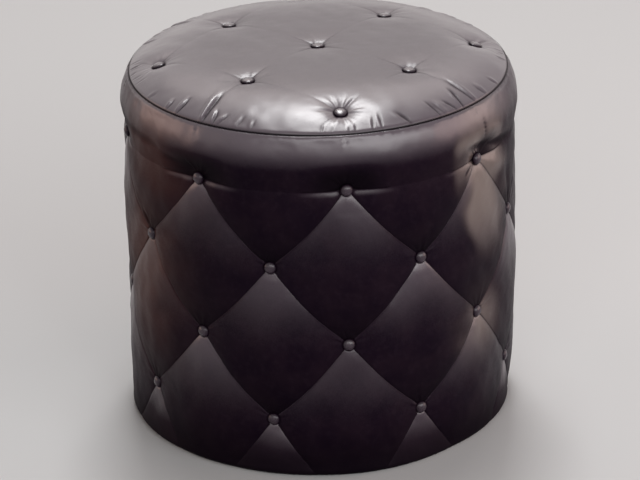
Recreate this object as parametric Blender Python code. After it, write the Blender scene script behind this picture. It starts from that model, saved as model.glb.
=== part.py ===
# Tufted drum stool: buttoned leather over foam, on a drum of boards, posts and a bent wall.
# Metres, +Z up. The origin is on the floor under the middle, and a column of buttons faces -Y.

import math

import bmesh
import bpy
from mathutils import Matrix, Vector

# The drum's outside, measured on the crests of the padding
OUTER_RADIUS = 0.240
SEAM_HEIGHT = 0.437
SEAM_SETBACK = 0.0108
SHOULDER = 0.042
CROWN = 0.028
CROWN_POWER = 5
CORNER_RADIUS = 0.010

# Button pattern: rows and columns round the side, and a square of nine on the top
COLUMNS = 8
ROWS = 4
TOP_ROW_DROP = 0.0691
BOTTOM_ROW_HEIGHT = 0.073
TOP_BUTTON_MARGIN = 0.037
TUFT_DEPTH = 0.0095
ROW_VALLEY = 0.003

# Sheets, pads and boards
LEATHER = 0.0013
SEAM_ALLOWANCE = 0.008
TURN_UNDER = 0.033
SIDE_FOAM = 0.0268
SEAT_FOAM_EDGE = 0.039
WALL = 0.003
SEAT_BOARD = 0.012
BASE_BOARD = 0.015
DUST_CLOTH = 0.0004
DUST_OVERLAP = 0.008

# Posts and their screws
POSTS = 4
POST_WIDTH = 0.030
POST_DEPTH = 0.022
SCREW_RADIUS = 0.002
SCREW_HEAD_RADIUS = 0.004
SCREW_HEAD_DEPTH = 0.0025
SCREW_GRIP = 0.025

# Covered buttons, each with its shank, twine and inner washer
BUTTON_RADIUS = 0.00765
BUTTON_HEIGHT = 0.0045
BUTTON_RIM = 0.0016
SHANK_RADIUS = 0.0025
TWINE_RADIUS = 0.001
WASHER_RADIUS = 0.008
WASHER = 0.0015

# Nail-on glides
GLIDES = 4
GLIDE_CIRCLE = 0.160
GLIDE_RADIUS = 0.011
GLIDE_HEIGHT = 0.004
GLIDE_CHAMFER = 0.0015
NAIL_RADIUS = 0.0013
NAIL_LENGTH = 0.012

# Gap kept between pieces that touch
CLEARANCE = 0.0003

# Facets: four to a button column, so that the pleats run along the facets' diagonals
FACETS = 4 * COLUMNS
FACET_ANGLE = math.tau / FACETS
SMALL_SIDES = 8
BORE_SIDES = 6
GLIDE_SIDES = 12
# The side leather is two panels: the front one takes this many facets each way from -Y
FRONT_PANEL_FACETS = 9

# Radii, from the leather inwards
SEAM_RADIUS = OUTER_RADIUS - SEAM_SETBACK
WALL_OUTER = OUTER_RADIUS - LEATHER - CLEARANCE - SIDE_FOAM
WALL_INNER = WALL_OUTER - WALL
BOARD_RADIUS = WALL_INNER - CLEARANCE
FOAM_INNER = WALL_OUTER + CLEARANCE
BUTTON_SEAT_RADIUS = OUTER_RADIUS - TUFT_DEPTH
TURNED_EDGE_RADIUS = OUTER_RADIUS - CORNER_RADIUS - TURN_UNDER

# Heights, from the floor upwards
DUST_BOTTOM = GLIDE_HEIGHT + CLEARANCE
UNDERSIDE = DUST_BOTTOM + DUST_CLOTH + CLEARANCE
BASE_BOTTOM = UNDERSIDE + LEATHER + CLEARANCE
BASE_TOP = BASE_BOTTOM + BASE_BOARD
CORNER_TOP = UNDERSIDE + CORNER_RADIUS
SEAT_TOP = SEAM_HEIGHT - SEAT_FOAM_EDGE
SEAT_BOTTOM = SEAT_TOP - SEAT_BOARD
TOP_ROW_HEIGHT = SEAM_HEIGHT - TOP_ROW_DROP
ROW_PITCH = (TOP_ROW_HEIGHT - BOTTOM_ROW_HEIGHT) / (ROWS - 1)
ALLOWANCE_FOOT = SEAM_HEIGHT - SEAM_ALLOWANCE - CLEARANCE

# Top lattice: its corner buttons lie on the front, back and both sides
TOP_SEAM_RADIUS = SEAM_RADIUS - CLEARANCE
TOP_CORNER_RADIUS = TOP_SEAM_RADIUS - TOP_BUTTON_MARGIN
TOP_PITCH = TOP_CORNER_RADIUS / math.sqrt(2)
TOP_CELLS = COLUMNS
# Rings of points round a button: the side's clear the shank, and the top's the whole button
SIDE_RING = (SHANK_RADIUS + CLEARANCE) / math.cos(math.pi / 8)
TOP_RING = (BUTTON_RADIUS + CLEARANCE) / math.cos(math.pi / 6)
TWINE_BORE = TWINE_RADIUS + CLEARANCE


# Materials

def make_material(name, colour, roughness, metallic=0.0):
    material = bpy.data.materials.new(name)
    material.use_nodes = True
    shader = material.node_tree.nodes["Principled BSDF"]
    shader.inputs["Base Color"].default_value = (*colour, 1.0)
    shader.inputs["Roughness"].default_value = roughness
    shader.inputs["Metallic"].default_value = metallic
    material.diffuse_color = (*colour, 1.0)
    return material


def make_materials():
    return {
        "leather": make_material("leather", (0.045, 0.032, 0.034), 0.38),
        "foam": make_material("foam", (0.72, 0.68, 0.52), 0.9),
        "board": make_material("board", (0.52, 0.38, 0.24), 0.7),
        "hardboard": make_material("hardboard", (0.24, 0.14, 0.08), 0.6),
        "post": make_material("post", (0.66, 0.50, 0.32), 0.65),
        "dust_cloth": make_material("dust_cloth", (0.02, 0.02, 0.022), 0.95),
        "glide": make_material("glide", (0.62, 0.62, 0.63), 0.3, 1.0),
    }


# Mesh helpers

def finish_mesh(name, mesh):
    # Turns a bmesh into a mesh whose faces all point out
    bmesh.ops.recalc_face_normals(mesh, faces=mesh.faces)
    if mesh.calc_volume(signed=True) < 0:
        bmesh.ops.reverse_faces(mesh, faces=mesh.faces)
    data = bpy.data.meshes.new(name)
    mesh.to_mesh(data)
    mesh.free()
    return data


def make_object(name, data, material=None, place=None):
    if material and not data.materials:
        data.materials.append(material)
    piece = bpy.data.objects.new(name, data)
    bpy.context.collection.objects.link(piece)
    piece.matrix_world = place or Matrix()
    return piece


def smooth(piece, angle=math.radians(40)):
    piece.data.shade_smooth()
    piece.data.set_sharp_from_angle(angle=angle)
    return piece


def turned(name, profile, sides):
    # Spins a profile of (radius, height) points, which starts and ends on the axis
    mesh = bmesh.new()
    points = [mesh.verts.new((radius, 0, height)) for radius, height in profile]
    edges = [mesh.edges.new(pair) for pair in zip(points, points[1:])]
    bmesh.ops.spin(
        mesh, geom=points + edges, cent=(0, 0, 0), axis=(0, 0, 1), angle=math.tau, steps=sides,
        use_merge=True,
    )
    bmesh.ops.remove_doubles(mesh, verts=mesh.verts, dist=1e-6)
    return finish_mesh(name, mesh)


def rod_profile(radius, low, high):
    return [(0, low), (radius, low), (radius, high), (0, high)]


def boolean(piece, tool, operation):
    modifier = piece.modifiers.new(tool.name, "BOOLEAN")
    modifier.object = tool
    modifier.operation = operation
    modifier.solver = "EXACT"
    return piece


def make_tool(name, profile, places, sides=BORE_SIDES):
    # One hidden tool that holds the same turned shape at every place
    shape = turned(name, profile, sides)
    mesh = bmesh.new()
    for place in places:
        before = len(mesh.verts)
        mesh.from_mesh(shape)
        mesh.verts.ensure_lookup_table()
        bmesh.ops.transform(mesh, matrix=place, verts=mesh.verts[before:])
    tool = make_object(name, finish_mesh(name, mesh))
    tool.hide_render = True
    tool.display_type = "WIRE"
    return tool


# Places

def drum_point(angle, radius, height):
    # Angle 0 is the front, and it grows to the right
    return Vector((radius * math.sin(angle), -radius * math.cos(angle), height))


def outward(angle, height):
    # A frame on the drum's axis whose Z points out along the angle, and whose Y points up
    turn = Matrix.Rotation(angle, 4, "Z") @ Matrix.Rotation(math.radians(90), 4, "X")
    return Matrix.Translation((0, 0, height)) @ turn


def upright(angle, radius, height=0.0):
    # A frame that stands up at a place, with its -Y facing outwards
    return Matrix.Translation(drum_point(angle, radius, height)) @ Matrix.Rotation(angle, 4, "Z")


def side_buttons():
    # Row, column, angle and height; every second row is shifted by half a column
    for row in range(ROWS):
        for column in range(COLUMNS):
            angle = (column + 0.5 * (row % 2)) * math.tau / COLUMNS
            yield row + 1, column + 1, angle, TOP_ROW_HEIGHT - row * ROW_PITCH


def top_buttons():
    # Lattice steps of the nine top buttons
    return [(i, j) for i in (-1, 0, 1) for j in (-1, 0, 1)]


def lattice_point(i, j):
    # The lattice is turned so that the step (1, 1) points to the front
    turn = Matrix.Rotation(math.radians(-135), 2)
    return turn @ Vector((i, j)) * TOP_PITCH


def post_places():
    # Posts stand one facet clear of the button columns
    for post in range(POSTS):
        yield post + 1, post * math.tau / POSTS + FACET_ANGLE


# The padded surface

def swell(distance):
    # Height of the padding between pleats: 0 on a pleat, 1 half-way, with a round back
    return math.sqrt(1 - (1 - min(distance, 1)) ** 2)


def nearest_line(value):
    return 2 * abs(value - round(value))


def row_number(height):
    # 0 at the top row of buttons, and half a row below the last one at the bottom corner
    last = ROWS - 1
    if height < BOTTOM_ROW_HEIGHT:
        return last + 0.5 * (BOTTOM_ROW_HEIGHT - height) / (BOTTOM_ROW_HEIGHT - CORNER_TOP)
    return (TOP_ROW_HEIGHT - height) / ROW_PITCH


def side_tuft(angle, height):
    # Depth of the pleats and tufts below the side's crests
    column = angle * COLUMNS / math.tau
    if height >= SEAT_TOP:
        return 0.0
    if height > TOP_ROW_HEIGHT:
        fade = (SEAT_TOP - height) / (SEAT_TOP - TOP_ROW_HEIGHT)
        crest = swell(nearest_line(column))
        return (TUFT_DEPTH * (1 - crest) + ROW_VALLEY * crest) * fade ** 2
    row = min(row_number(height), ROWS - 0.5)
    crest = (swell(nearest_line(column + row / 2)) + swell(nearest_line(column - row / 2))) / 2
    valley = ROW_VALLEY * max(0, 1 - 2 * row) * swell(nearest_line(column))
    corner_end = CORNER_TOP - CORNER_RADIUS * math.pi / 2
    fade = min(1, max(0, (height - corner_end) / (CORNER_TOP - corner_end)))
    return (TUFT_DEPTH * (1 - crest) + valley) * fade


def side_section(height, inset):
    # Radius and height of the side leather at an inset from its face. Pattern heights run on
    # past the seam into the seam allowance, and past the corner into the turned-under edge.
    if height > SEAM_HEIGHT:
        return SEAM_RADIUS + inset, 2 * SEAM_HEIGHT - height
    if height == SEAM_HEIGHT and inset > 0:
        fold = SHOULDER * (1 - math.sqrt(1 - 2 * inset / SEAM_SETBACK))
        return SEAM_RADIUS + inset, SEAM_HEIGHT - fold
    if height >= CORNER_TOP:
        rise = max(0, height - SEAM_HEIGHT + SHOULDER) / SHOULDER
        return OUTER_RADIUS - SEAM_SETBACK * rise ** 2 - inset, height
    quarter = CORNER_RADIUS * math.pi / 2
    turn = min(CORNER_TOP - height, quarter) / CORNER_RADIUS
    under = max(0, CORNER_TOP - height - quarter)
    reach = CORNER_RADIUS - inset
    radius = OUTER_RADIUS - CORNER_RADIUS + reach * math.cos(turn) - under
    return radius, CORNER_TOP - reach * math.sin(turn)


def side_point(x, y, inset):
    # From the side's flat pattern, x round the drum and y up it, to its place
    angle = x / OUTER_RADIUS
    for _, _, button_angle, button_height in side_buttons():
        turn = (angle - button_angle + math.pi) % math.tau - math.pi
        if math.hypot(turn * OUTER_RADIUS, y - button_height) < 1.01 * SIDE_RING:
            return drum_point(angle, BUTTON_SEAT_RADIUS - inset, y)
    radius, height = side_section(y, inset + side_tuft(angle, y))
    return drum_point(angle, radius, height)


def crest_height(radius):
    return SEAM_HEIGHT + CROWN * (1 - (radius / SEAM_RADIUS) ** CROWN_POWER)


def top_tuft(x, y):
    # Depth of the top's pleats, which run along the lattice and fade out to the seam
    along = Matrix.Rotation(math.radians(135), 2) @ Vector((x, y)) / TOP_PITCH
    crest = sum(swell(2 * abs(step - max(-1, min(1, round(step))))) for step in along) / 2
    fade = (TOP_SEAM_RADIUS - math.hypot(x, y)) / TOP_BUTTON_MARGIN
    return TUFT_DEPTH * (1 - crest) * min(1, max(0, fade))


def top_point(x, y, inset):
    # From the top's flat pattern, which runs on past the seam into the seam allowance
    radius = math.hypot(x, y)
    for i, j in top_buttons():
        button = lattice_point(i, j)
        if math.hypot(x - button.x, y - button.y) < 1.01 * TOP_RING:
            return Vector((x, y, top_seat_height(i, j) - inset))
    if radius < TOP_SEAM_RADIUS - CLEARANCE:
        return Vector((x, y, crest_height(radius) - top_tuft(x, y) - inset))
    reach = (TOP_SEAM_RADIUS - inset) / radius
    over = max(0, radius - TOP_SEAM_RADIUS)
    if over < CLEARANCE:
        return Vector((x * reach, y * reach, crest_height(TOP_SEAM_RADIUS - inset) - inset))
    return Vector((x * reach, y * reach, SEAM_HEIGHT - over))


def top_seat_height(i, j):
    return crest_height(lattice_point(i, j).length) - TUFT_DEPTH


# Flat patterns

def pinch_buttons(pattern, places, ring, fixed=None):
    # Opens each button's corner of the pattern into an even ring, and returns the rings' faces.
    # A ring keeps its corner in the fixed direction, or else the one that points outwards.
    seats = []
    for place in places:
        corners = [v for v in pattern.verts if (v.co.xy - place).length < CLEARANCE]
        if not corners:
            continue
        bmesh.ops.bevel(
            pattern, geom=corners, offset=ring, offset_type="OFFSET", segments=1,
            affect="VERTICES",
        )
        near = {v for v in pattern.verts if (v.co.xy - place).length < 1.01 * ring}
        seats += [face for face in pattern.faces if near.issuperset(face.verts)]
        spread_evenly(seats[-1], place, ring, fixed or place)
    return seats


def spread_evenly(face, centre, radius, toward):
    # Spaces a face's corners evenly round its centre, from the corner nearest to a direction
    arms = [vertex.co.xy - centre for vertex in face.verts]
    first = max(range(len(arms)), key=lambda number: arms[number].dot(toward))
    start = math.atan2(arms[first].y, arms[first].x)
    step = math.tau / len(arms)
    if arms[0].x * arms[1].y < arms[0].y * arms[1].x:
        step = -step
    for number, vertex in enumerate(face.verts):
        angle = start + (number - first) * step
        vertex.co.xy = centre + radius * Vector((math.cos(angle), math.sin(angle)))


def halve(pattern, corners):
    # Two triangles in place of a four-cornered face, always along the same diagonal
    pattern.faces.new(corners[:3])
    pattern.faces.new((corners[2], corners[3], corners[0]))


def side_pattern(first_facet, last_facet, heights, end_gap):
    # A flat grid, poked between the seat board and the corner so that the pleats are edges
    facet = OUTER_RADIUS * FACET_ANGLE
    pattern = bmesh.new()
    lines = []
    for number in range(first_facet, last_facet + 1):
        x = number * facet
        if number == first_facet:
            x += end_gap
        if number == last_facet:
            x -= end_gap
        lines.append([pattern.verts.new((x, height, 0)) for height in heights])
    tufted = []
    for left, right in zip(lines, lines[1:]):
        for row in range(len(heights) - 1):
            corners = (left[row], left[row + 1], right[row + 1], right[row])
            if CORNER_TOP <= heights[row + 1] and heights[row] <= SEAT_TOP:
                tufted.append(pattern.faces.new(corners))
            else:
                halve(pattern, corners)
    bmesh.ops.poke(pattern, faces=tufted)
    places = []
    for _, _, angle, height in side_buttons():
        for turn in (-math.tau, 0, math.tau):
            places.append(Vector(((angle + turn) * OUTER_RADIUS, height)))
    return pattern, pinch_buttons(pattern, places, SIDE_RING, fixed=Vector((0, 1)))


def row_heights():
    # Button rows and the lines half-way between them, from the top row to the bottom corner
    rows = [TOP_ROW_HEIGHT - half * ROW_PITCH / 2 for half in range(2 * ROWS - 1)]
    return rows + [CORNER_TOP]


def top_pattern(edge_radii):
    # A square grid over the lattice, with rings round it that turn the square into circles
    lattice_ring = TOP_SEAM_RADIUS - 0.4 * TOP_BUTTON_MARGIN
    shoulder_ring = TOP_SEAM_RADIUS - 0.2 * TOP_BUTTON_MARGIN
    half = TOP_CELLS // 2
    turn = Matrix.Rotation(math.radians(-135), 2)
    pattern = bmesh.new()
    grid = {}
    for i in range(-half, half + 1):
        for j in range(-half, half + 1):
            x, y = turn @ Vector((i, j)) * TOP_PITCH / half
            grid[i, j] = pattern.verts.new((x, y, 0))
    tufted = []
    for i in range(-half, half):
        for j in range(-half, half):
            corners = (grid[i, j], grid[i + 1, j], grid[i + 1, j + 1], grid[i, j + 1])
            tufted.append(pattern.faces.new(corners))
    edge = [(half, half - step) for step in range(TOP_CELLS)]
    border = []
    for _ in range(4):
        border += edge
        edge = [(j, -i) for i, j in edge]
    ring = [grid[place] for place in border]
    half_way = [
        vertex.co.lerp(drum_point(-step * FACET_ANGLE, lattice_ring, 0), 0.5)
        for step, vertex in enumerate(ring)
    ]
    circles = [
        [drum_point(-step * FACET_ANGLE, radius, 0) for step in range(FACETS)]
        for radius in (lattice_ring, shoulder_ring, *edge_radii)
    ]
    for number, places in enumerate([half_way] + circles):
        outer = [pattern.verts.new(place) for place in places]
        for step in range(FACETS):
            after = (step + 1) % FACETS
            corners = (ring[step], outer[step], outer[after], ring[after])
            if number == 0:
                tufted.append(pattern.faces.new(corners))
            else:
                halve(pattern, corners)
        ring = outer
    bmesh.ops.poke(pattern, faces=tufted)
    places = [lattice_point(i, j) for i, j in top_buttons()]
    return pattern, pinch_buttons(pattern, places, TOP_RING)


def triangulate(pattern):
    # By the shorter diagonal, so that leather and foam, one inside the other, split alike
    bmesh.ops.triangulate(
        pattern, faces=pattern.faces, quad_method="SHORT_EDGE", ngon_method="EAR_CLIP"
    )


def leather_shell(name, pattern, holes, point):
    # A skin of leather: the pattern, with its button holes punched, placed twice
    bmesh.ops.delete(pattern, geom=holes, context="FACES")
    triangulate(pattern)
    face_side = list(pattern.verts)
    copied = bmesh.ops.extrude_face_region(pattern, geom=pattern.faces, use_keep_orig=True)
    flesh_side = [item for item in copied["geom"] if isinstance(item, bmesh.types.BMVert)]
    for vertex in face_side:
        vertex.co = point(vertex.co.x, vertex.co.y, 0.0)
    for vertex in flesh_side:
        vertex.co = point(vertex.co.x, vertex.co.y, LEATHER)
    return finish_mesh(name, pattern)


def open_loops(mesh):
    return [edge for edge in mesh.edges if edge.is_boundary]


def extend_loop(mesh, loop, radius, height):
    # Pulls an open loop of the mesh to a new radius and height
    pulled = bmesh.ops.extrude_edge_only(mesh, edges=loop)["geom"]
    for vertex in pulled:
        if isinstance(vertex, bmesh.types.BMVert):
            flat = vertex.co.xy.normalized() * radius
            vertex.co = (flat.x, flat.y, height)
    return [item for item in pulled if isinstance(item, bmesh.types.BMEdge) and item.is_boundary]


# Sub-parts

def build_side_cover(name, first_facet, last_facet, material):
    heights = [SEAM_HEIGHT + SEAM_ALLOWANCE, SEAM_HEIGHT, ALLOWANCE_FOOT]
    heights += [(ALLOWANCE_FOOT + SEAT_TOP) / 2, SEAT_TOP]
    heights += row_heights()
    quarter = CORNER_RADIUS * math.pi / 2
    heights += [CORNER_TOP - quarter / 2, CORNER_TOP - quarter, CORNER_TOP - quarter - TURN_UNDER]
    pattern, holes = side_pattern(first_facet, last_facet, heights, CLEARANCE / 2)
    shell = leather_shell(name, pattern, holes, side_point)
    return smooth(make_object(name, shell, material))


def build_top_cover(material):
    pattern, seats = top_pattern([TOP_SEAM_RADIUS, TOP_SEAM_RADIUS + SEAM_ALLOWANCE])
    bmesh.ops.inset_individual(pattern, faces=seats, thickness=BUTTON_RADIUS - SHANK_RADIUS)
    shell = leather_shell("top_cover", pattern, seats, top_point)
    return smooth(make_object("top_cover", shell, material))


def build_side_foam(material, bores):
    quarter = CORNER_RADIUS * math.pi / 2
    inner_edge = CORNER_TOP - quarter - (OUTER_RADIUS - CORNER_RADIUS - FOAM_INNER)
    heights = [SEAT_TOP] + row_heights() + [CORNER_TOP - quarter, inner_edge]
    # The tube's joint runs between two columns of buttons
    pattern, _ = side_pattern(1, FACETS + 1, heights, 0.0)
    triangulate(pattern)
    for vertex in pattern.verts:
        vertex.co = side_point(vertex.co.x, vertex.co.y, LEATHER + CLEARANCE)
    bmesh.ops.remove_doubles(pattern, verts=pattern.verts, dist=1e-5)
    rim = [edge for edge in open_loops(pattern) if edge.verts[0].co.z > TOP_ROW_HEIGHT]
    extend_loop(pattern, rim, FOAM_INNER, SEAT_TOP)
    bmesh.ops.bridge_loops(pattern, edges=open_loops(pattern))
    foam = make_object("side_foam", finish_mesh("side_foam", pattern), material)
    return smooth(boolean(foam, bores, "DIFFERENCE"))


def build_seat_foam(material, bores):
    foam_edge = TOP_SEAM_RADIUS - LEATHER - CLEARANCE
    inset = LEATHER + CLEARANCE
    pattern, _ = top_pattern([foam_edge])
    triangulate(pattern)
    for vertex in pattern.verts:
        vertex.co = top_point(vertex.co.x, vertex.co.y, inset)
    loop = extend_loop(pattern, open_loops(pattern), foam_edge, ALLOWANCE_FOOT)
    foot = SEAT_TOP + CLEARANCE
    for height in (ALLOWANCE_FOOT, (ALLOWANCE_FOOT + SEAT_TOP) / 2, foot):
        radius, _ = side_section(height, inset)
        loop = extend_loop(pattern, loop, radius, height)
    bmesh.ops.contextual_create(pattern, geom=loop)
    foam = make_object("seat_foam", finish_mesh("seat_foam", pattern), material)
    return smooth(boolean(foam, bores, "DIFFERENCE"))


def build_wall(material, bores):
    # A bent hoop of hardboard whose ends meet behind a post, with its butt joint left open
    mesh = bmesh.new()
    butt = 2 * CLEARANCE / WALL_INNER
    sections = []
    for step in range(FACETS + 1):
        angle = math.pi + FACET_ANGLE + step * FACET_ANGLE
        if step == 0:
            angle += butt / 2
        if step == FACETS:
            angle -= butt / 2
        corners = ((WALL_INNER, BASE_BOTTOM), (WALL_OUTER, BASE_BOTTOM))
        corners += ((WALL_OUTER, SEAT_TOP), (WALL_INNER, SEAT_TOP))
        sections.append([mesh.verts.new(drum_point(angle, *corner)) for corner in corners])
    for before, after in zip(sections, sections[1:]):
        for corner in range(4):
            nearby = (corner + 1) % 4
            mesh.faces.new((before[corner], before[nearby], after[nearby], after[corner]))
    mesh.faces.new(sections[0])
    mesh.faces.new(reversed(sections[-1]))
    wall = make_object("side_wall", finish_mesh("side_wall", mesh), material)
    return smooth(boolean(wall, bores, "DIFFERENCE"))


def build_disc(name, radius, bottom, top, material):
    mesh = bmesh.new()
    bmesh.ops.create_cone(
        mesh, cap_ends=True, segments=FACETS, radius1=radius, radius2=radius,
        depth=top - bottom, matrix=Matrix.Translation((0, 0, (top + bottom) / 2)),
    )
    return smooth(make_object(name, finish_mesh(name, mesh), material))


def build_posts(material, seat_board, base_board):
    low = BASE_TOP + CLEARANCE
    high = SEAT_BOTTOM - CLEARANCE
    # The post's outer corners bear on the two flats of the wall that it spans
    outer_face = WALL_INNER - CLEARANCE - POST_WIDTH / 2 * math.tan(FACET_ANGLE / 2)
    size = Matrix.Diagonal((POST_WIDTH, POST_DEPTH, high - low, 1))
    middle = Matrix.Translation((0, 0, (low + high) / 2))
    places = []
    for number, angle in post_places():
        place = upright(angle, outer_face - POST_DEPTH / 2)
        places.append(place)
        name = f"post_{number}"
        mesh = bmesh.new()
        bmesh.ops.create_cube(mesh, size=1.0, matrix=middle @ size)
        post = make_object(name, finish_mesh(name, mesh), material, place)
        boolean(post, make_tool(f"{name}_top_screw", top_screw(0), [place], SMALL_SIDES), "UNION")
        boolean(post, make_tool(f"{name}_low_screw", low_screw(0), [place], SMALL_SIDES), "UNION")
    top_holes = make_tool("top_screw_holes", top_screw(CLEARANCE), places, SMALL_SIDES)
    boolean(seat_board, top_holes, "DIFFERENCE")
    low_holes = make_tool("low_screw_holes", low_screw(CLEARANCE), places, SMALL_SIDES)
    boolean(base_board, low_holes, "DIFFERENCE")


def top_screw(extra):
    # The screw that goes down through the seat board into a post; its hole has extra all round
    shank = SCREW_RADIUS + extra
    head = SCREW_HEAD_RADIUS + extra
    foot = SEAT_BOTTOM - SCREW_GRIP
    neck = SEAT_TOP - SCREW_HEAD_DEPTH
    return [
        (0, foot), (shank, foot), (shank, neck - extra), (head, SEAT_TOP - extra),
        (head, SEAT_TOP + extra), (0, SEAT_TOP + extra),
    ]


def low_screw(extra):
    # The screw that goes up through the base board into a post; its hole has extra all round
    shank = SCREW_RADIUS + extra
    head = SCREW_HEAD_RADIUS + extra
    point = BASE_TOP + SCREW_GRIP
    neck = BASE_BOTTOM + SCREW_HEAD_DEPTH
    return [
        (0, BASE_BOTTOM - extra), (head, BASE_BOTTOM - extra), (head, BASE_BOTTOM + extra),
        (shank, neck + extra), (shank, point), (0, point),
    ]


def button_profile(backing):
    # Heights are from the leather at the tuft; the washer bears on what lies at the backing
    underside = CLEARANCE
    washer_top = -backing - CLEARANCE
    shank_end = -LEATHER
    rim_foot = underside + BUTTON_RIM
    return [
        (0, washer_top - WASHER),
        (WASHER_RADIUS, washer_top - WASHER),
        (WASHER_RADIUS, washer_top),
        (TWINE_RADIUS, washer_top),
        (TWINE_RADIUS, shank_end),
        (SHANK_RADIUS, shank_end),
        (SHANK_RADIUS, underside),
        (BUTTON_RADIUS, rim_foot),
        (0.8 * BUTTON_RADIUS, underside + 0.8 * BUTTON_HEIGHT),
        (0, underside + BUTTON_HEIGHT),
    ]


def side_backing():
    # The washer spans two flats of the wall, whose faces stand in from the corner between them
    wall_face = WALL_INNER - WASHER_RADIUS * math.tan(FACET_ANGLE / 2)
    return BUTTON_SEAT_RADIUS - wall_face


def build_side_buttons(material):
    mesh = turned("side_button", button_profile(side_backing()), SMALL_SIDES)
    for row, column, angle, height in side_buttons():
        place = outward(angle, height) @ Matrix.Translation((0, 0, BUTTON_SEAT_RADIUS))
        smooth(make_object(f"side_button_{row}_{column}", mesh, material, place))


def build_top_buttons(material):
    for number, (i, j) in enumerate(top_buttons()):
        name = f"top_button_{number + 1}"
        spot = lattice_point(i, j)
        seat = top_seat_height(i, j)
        mesh = turned(name, button_profile(seat - SEAT_BOTTOM), SMALL_SIDES)
        smooth(make_object(name, mesh, material, Matrix.Translation((spot.x, spot.y, seat))))


def build_glides(material, pierced):
    profile = [
        (0, 0), (GLIDE_RADIUS - GLIDE_CHAMFER, 0), (GLIDE_RADIUS, GLIDE_CHAMFER),
        (GLIDE_RADIUS, GLIDE_HEIGHT), (NAIL_RADIUS, GLIDE_HEIGHT),
        (NAIL_RADIUS, GLIDE_HEIGHT + NAIL_LENGTH), (0, GLIDE_HEIGHT + NAIL_LENGTH),
    ]
    mesh = turned("glide", profile, GLIDE_SIDES)
    places = []
    for number in range(GLIDES):
        place = upright((number + 0.5) * math.tau / GLIDES, GLIDE_CIRCLE)
        places.append(place)
        smooth(make_object(f"glide_{number + 1}", mesh, material, place))
    reach = GLIDE_HEIGHT + NAIL_LENGTH + CLEARANCE
    bore = rod_profile(NAIL_RADIUS + CLEARANCE, 0, reach)
    holes = make_tool("nail_holes", bore, places, GLIDE_SIDES)
    for piece in pierced:
        boolean(piece, holes, "DIFFERENCE")


def main():
    for item in list(bpy.data.objects):
        bpy.data.objects.remove(item)
    material = make_materials()

    side_places = [outward(angle, height) for _, _, angle, height in side_buttons()]
    side_bore = rod_profile(TWINE_BORE, BOARD_RADIUS - POST_DEPTH, OUTER_RADIUS)
    side_bores = make_tool("side_twine_bores", side_bore, side_places)
    top_places = [Matrix.Translation(lattice_point(i, j).to_3d()) for i, j in top_buttons()]
    top_bore = rod_profile(TWINE_BORE, SEAT_BOTTOM - SEAT_BOARD, SEAM_HEIGHT + 2 * CROWN)
    top_bores = make_tool("top_twine_bores", top_bore, top_places)

    base_board = build_disc("base_board", BOARD_RADIUS, BASE_BOTTOM, BASE_TOP, material["board"])
    seat_board = build_disc("seat_board", BOARD_RADIUS, SEAT_BOTTOM, SEAT_TOP, material["board"])
    boolean(seat_board, top_bores, "DIFFERENCE")
    build_posts(material["post"], seat_board, base_board)
    build_wall(material["hardboard"], side_bores)
    build_side_foam(material["foam"], side_bores)
    build_seat_foam(material["foam"], top_bores)

    front = FRONT_PANEL_FACETS
    build_side_cover("side_cover_front", -front, front, material["leather"])
    build_side_cover("side_cover_rear", front, FACETS - front, material["leather"])
    build_top_cover(material["leather"])
    build_side_buttons(material["leather"])
    build_top_buttons(material["leather"])

    dust_radius = TURNED_EDGE_RADIUS + DUST_OVERLAP
    dust_top = DUST_BOTTOM + DUST_CLOTH
    dust_cover = build_disc("dust_cover", dust_radius, DUST_BOTTOM, dust_top, material["dust_cloth"])
    build_glides(material["glide"], [dust_cover, base_board])


main()
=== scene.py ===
import math
import random

import bmesh
import bpy
import numpy as np
from mathutils import Matrix, Vector


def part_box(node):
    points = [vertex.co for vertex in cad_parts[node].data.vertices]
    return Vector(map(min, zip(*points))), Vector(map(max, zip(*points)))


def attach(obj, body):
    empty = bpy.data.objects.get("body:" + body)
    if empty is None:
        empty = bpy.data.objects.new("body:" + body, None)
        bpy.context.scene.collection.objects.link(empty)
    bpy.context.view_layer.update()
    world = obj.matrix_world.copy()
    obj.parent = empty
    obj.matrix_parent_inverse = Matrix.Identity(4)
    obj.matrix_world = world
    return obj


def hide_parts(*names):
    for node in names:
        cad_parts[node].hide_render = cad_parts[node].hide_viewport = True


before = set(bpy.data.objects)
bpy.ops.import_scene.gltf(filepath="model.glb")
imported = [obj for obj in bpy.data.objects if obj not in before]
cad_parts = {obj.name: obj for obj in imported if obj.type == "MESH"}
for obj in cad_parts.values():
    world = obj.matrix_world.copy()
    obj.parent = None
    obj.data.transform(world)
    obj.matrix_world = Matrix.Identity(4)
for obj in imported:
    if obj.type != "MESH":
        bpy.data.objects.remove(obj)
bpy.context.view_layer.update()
print("stage: frame loaded,", len(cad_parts), "nodes")


def turnBy(degrees, axis):
    return Matrix.Rotation(math.radians(degrees), 4, axis)


def spotAt(angle, radius, height):
    # A place round the stool's axis; the angle runs from the front towards the right
    return radius * np.sin(angle), -radius * np.cos(angle), height


# Camera, at the photograph's viewing angle

shot = {"distance": 3.8952, "height": 1.9077, "azimuth": -7.448, "turn": 0.023, "pitch": 23.606,
        "roll": -1.123, "lens": 194.17}


def placeCamera():
    lens = bpy.data.cameras.new("camera")
    lens.lens = shot["lens"]
    lens.sensor_width = 36
    lens.clip_start, lens.clip_end = 0.1, 60
    camera = bpy.data.objects.new("camera", lens)
    bpy.context.scene.collection.objects.link(camera)
    place = Matrix.Translation(spotAt(math.radians(shot["azimuth"]), shot["distance"], shot["height"]))
    camera.matrix_world = place @ turnBy(shot["azimuth"] + shot["turn"], "Z") \
        @ turnBy(90 - shot["pitch"], "X") @ turnBy(shot["roll"], "Z")
    bpy.context.scene.camera = camera


placeCamera()


# Shader sums: a socket that takes part in Python expressions

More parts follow.
